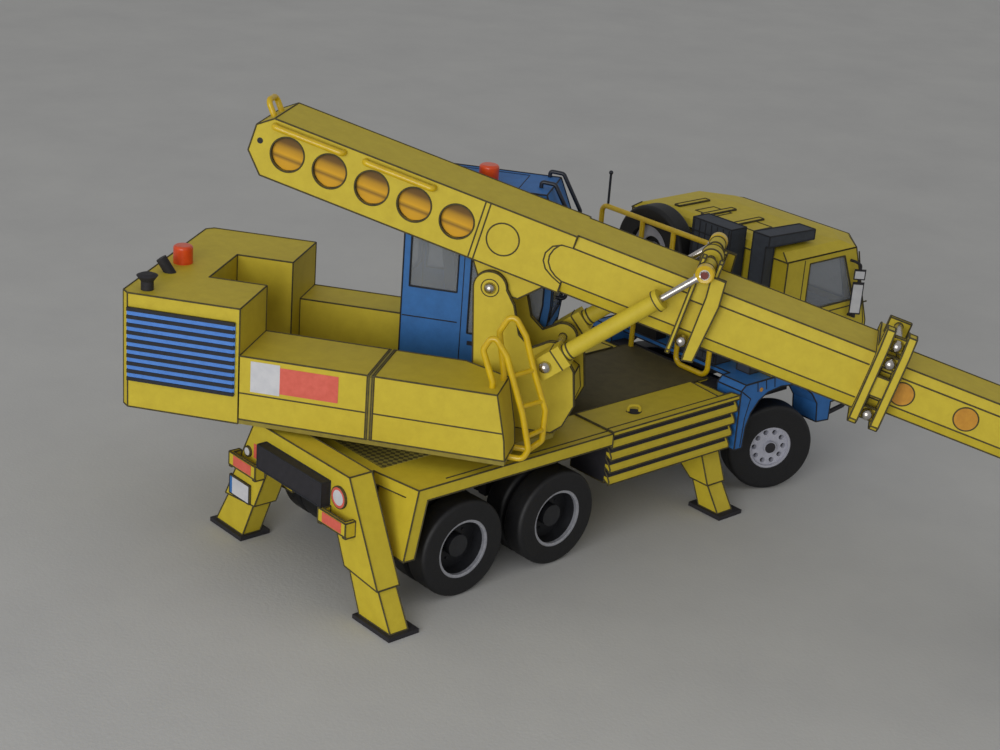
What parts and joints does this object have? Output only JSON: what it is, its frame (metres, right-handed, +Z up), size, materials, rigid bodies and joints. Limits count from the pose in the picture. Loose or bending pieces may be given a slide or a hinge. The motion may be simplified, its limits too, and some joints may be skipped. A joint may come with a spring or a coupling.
{
  "type": "card scale model of a truck-mounted telescopic excavator",
  "caption": "Card scale model of a three-axle truck with outriggers carrying a slewing upper works, lift cylinders, telescopic box boom and bucket.",
  "frame": {"origin": "on the floor under the slewing axis, midway between the truck's two rear axles", "axes": "+X along the truck to its cab, +Y to its left, +Z up; the upper works rest turned 53.9 degrees to the right about +Z"},
  "size_m": [0.1601, 0.1753, 0.0883],
  "materials": {
    "yellow_card": "matt printed card",
    "blue_card": "matt printed card",
    "dark_card": "matt printed card",
    "black_card": "matt printed card",
    "white_card": "matt printed card",
    "wheel_card": "painted card",
    "tyre": "matt black painted laminated card",
    "orange_lamp": "satin",
    "wire_yellow": "satin painted wire",
    "wire_dark": "satin painted wire",
    "steel": "bright pin steel",
    "film": "clear film"
  },
  "bodies": {
    "chassis": {"chassis_frame": "dark_card", "axles": "dark_card", "deck": "yellow_card", "storage_boxes": "yellow_card", "rear_bridge": "yellow_card", "front_outriggers": "yellow_card", "outrigger_legs": "yellow_card", "outrigger_pads": "black_card", "bumper_bar": "black_card", "rear_plates": "white_card", "cab_body": "yellow_card", "cab_glazing": "film", "cab_roof": "yellow_card", "cab_lower": "blue_card", "cab_interior": "dark_card", "guard_frame": "wire_yellow", "intake_ducts": "dark_card", "spare_wheel": "tyre", "antenna": "wire_dark", "mirrors": "wire_dark", "slew_ring": "black_card"},
    "upper_works": {"turntable": "dark_card", "engine_housing": "yellow_card", "side_box_right": "yellow_card", "side_box_left": "yellow_card", "louvre_panels": "blue_card", "engine_top_fittings": "black_card", "beacons": "orange_lamp", "operator_cab": "blue_card", "operator_glazing": "film", "operator_seat": "dark_card", "screen_guard": "wire_dark", "boom_mast": "yellow_card", "mast_pins": "steel", "step_rails": "wire_yellow"},
    "boom": {"boom_tube": "yellow_card", "boom_collars": "yellow_card", "collar_pins": "steel", "boom_rails": "wire_yellow"},
    "telescope": {"telescope_tube": "yellow_card"},
    "tool_head": {"tool_head": "yellow_card"},
    "bucket": {"bucket": "dark_card"},
    "cylinder_barrel_right": {"cylinder_barrel_right": "yellow_card"},
    "cylinder_rod_right": {"cylinder_rod_right": "steel"},
    "steer_right": {"knuckle_right": "dark_card"},
    "wheel_front_right": {"tyre_front_right": "tyre", "rim_front_right": "wheel_card"},
    "wheel_rear1_right": {"tyres_rear1_right": "tyre", "rim_rear1_right": "wheel_card"},
    "wheel_rear2_right": {"tyres_rear2_right": "tyre", "rim_rear2_right": "wheel_card"},
    "cylinder_barrel_left": {"cylinder_barrel_left": "yellow_card"},
    "cylinder_rod_left": {"cylinder_rod_left": "steel"},
    "steer_left": {"knuckle_left": "dark_card"},
    "wheel_front_left": {"tyre_front_left": "tyre", "rim_front_left": "wheel_card"},
    "wheel_rear1_left": {"tyres_rear1_left": "tyre", "rim_rear1_left": "wheel_card"},
    "wheel_rear2_left": {"tyres_rear2_left": "tyre", "rim_rear2_left": "wheel_card"}
  },
  "joints": [
    {"name": "wheel_rear1_right_turn", "type": "hinge", "parent": "chassis", "child": "wheel_rear1_right", "pos_m": [0.0122, -0.02, 0.0101], "axis": [0, 1, 0], "continuous": true},
    {"name": "wheel_rear2_right_turn", "type": "hinge", "parent": "chassis", "child": "wheel_rear2_right", "pos_m": [-0.0124, -0.02, 0.0101], "axis": [0, 1, 0], "continuous": true},
    {"name": "steer_right", "type": "hinge", "parent": "chassis", "child": "steer_right", "pos_m": [0.0795, -0.0188, 0.0101], "axis": [0, 0, 1], "range_deg": [-10, 60]},
    {"name": "wheel_front_right_turn", "type": "hinge", "parent": "steer_right", "child": "wheel_front_right", "pos_m": [0.07878, -0.02034, 0.0101], "axis": [0.4226, 0.9063, 0], "continuous": true},
    {"name": "wheel_rear1_left_turn", "type": "hinge", "parent": "chassis", "child": "wheel_rear1_left", "pos_m": [0.0122, 0.02, 0.0101], "axis": [0, 1, 0], "continuous": true},
    {"name": "wheel_rear2_left_turn", "type": "hinge", "parent": "chassis", "child": "wheel_rear2_left", "pos_m": [-0.0124, 0.02, 0.0101], "axis": [0, 1, 0], "continuous": true},
    {"name": "steer_left", "type": "hinge", "parent": "chassis", "child": "steer_left", "pos_m": [0.0795, 0.0188, 0.0101], "axis": [0, 0, 1], "range_deg": [-10, 60]},
    {"name": "wheel_front_left_turn", "type": "hinge", "parent": "steer_left", "child": "wheel_front_left", "pos_m": [0.08022, 0.02034, 0.0101], "axis": [0.4226, 0.9063, 0], "continuous": true},
    {"name": "slew", "type": "hinge", "parent": "chassis", "child": "upper_works", "pos_m": [0, 0, 0.0284], "axis": [0, 0, 1], "range_deg": [-265, 13]},
    {"name": "boom_lift", "type": "hinge", "parent": "upper_works", "child": "boom", "pos_m": [0.00545, -0.00747, 0.05746], "axis": [-0.808, -0.5892, 0], "range_deg": [-25, 35]},
    {"name": "telescope_slide", "type": "slide", "parent": "boom", "child": "telescope", "axis": [0.5712, -0.7833, -0.2453], "range_m": [0, 0.06]},
    {"name": "tool_head_turn", "type": "hinge", "parent": "telescope", "child": "tool_head", "pos_m": [0.07037, -0.0965, 0.04041], "axis": [0.5712, -0.7833, -0.2453], "continuous": true},
    {"name": "bucket_tilt", "type": "hinge", "parent": "tool_head", "child": "bucket", "pos_m": [0.07443, -0.10207, 0.03506], "axis": [-0.808, -0.5892, 0], "range_deg": [-50, 75]},
    {"name": "cylinder_swing_right", "type": "hinge", "parent": "upper_works", "child": "cylinder_barrel_right", "pos_m": [0.00466, -0.02433, 0.0455], "axis": [-0.808, -0.5892, 0], "range_deg": [-26.31, 36.64]},
    {"name": "cylinder_stroke_right", "type": "slide", "parent": "cylinder_barrel_right", "child": "cylinder_rod_right", "axis": [0.462, -0.6335, 0.6207], "range_m": [-0.00773, 0.01074]},
    {"name": "cylinder_swing_left", "type": "hinge", "parent": "upper_works", "child": "cylinder_barrel_left", "pos_m": [0.02174, -0.01187, 0.0455], "axis": [-0.808, -0.5892, 0], "range_deg": [-26.31, 36.64]},
    {"name": "cylinder_stroke_left", "type": "slide", "parent": "cylinder_barrel_left", "child": "cylinder_rod_left", "axis": [0.462, -0.6335, 0.6207], "range_m": [-0.00773, 0.01074]}
  ],
  "couplings": [
    {"joint": "steer_left", "follows": "steer_right", "ratio": 1},
    {"joint": "cylinder_swing_right", "follows": "boom_lift", "ratio": 1.0325},
    {"joint": "cylinder_stroke_right", "follows": "boom_lift", "m_per_rad": 0.017261},
    {"joint": "cylinder_swing_left", "follows": "boom_lift", "ratio": 1.0325},
    {"joint": "cylinder_stroke_left", "follows": "boom_lift", "m_per_rad": 0.017261}
  ]
}
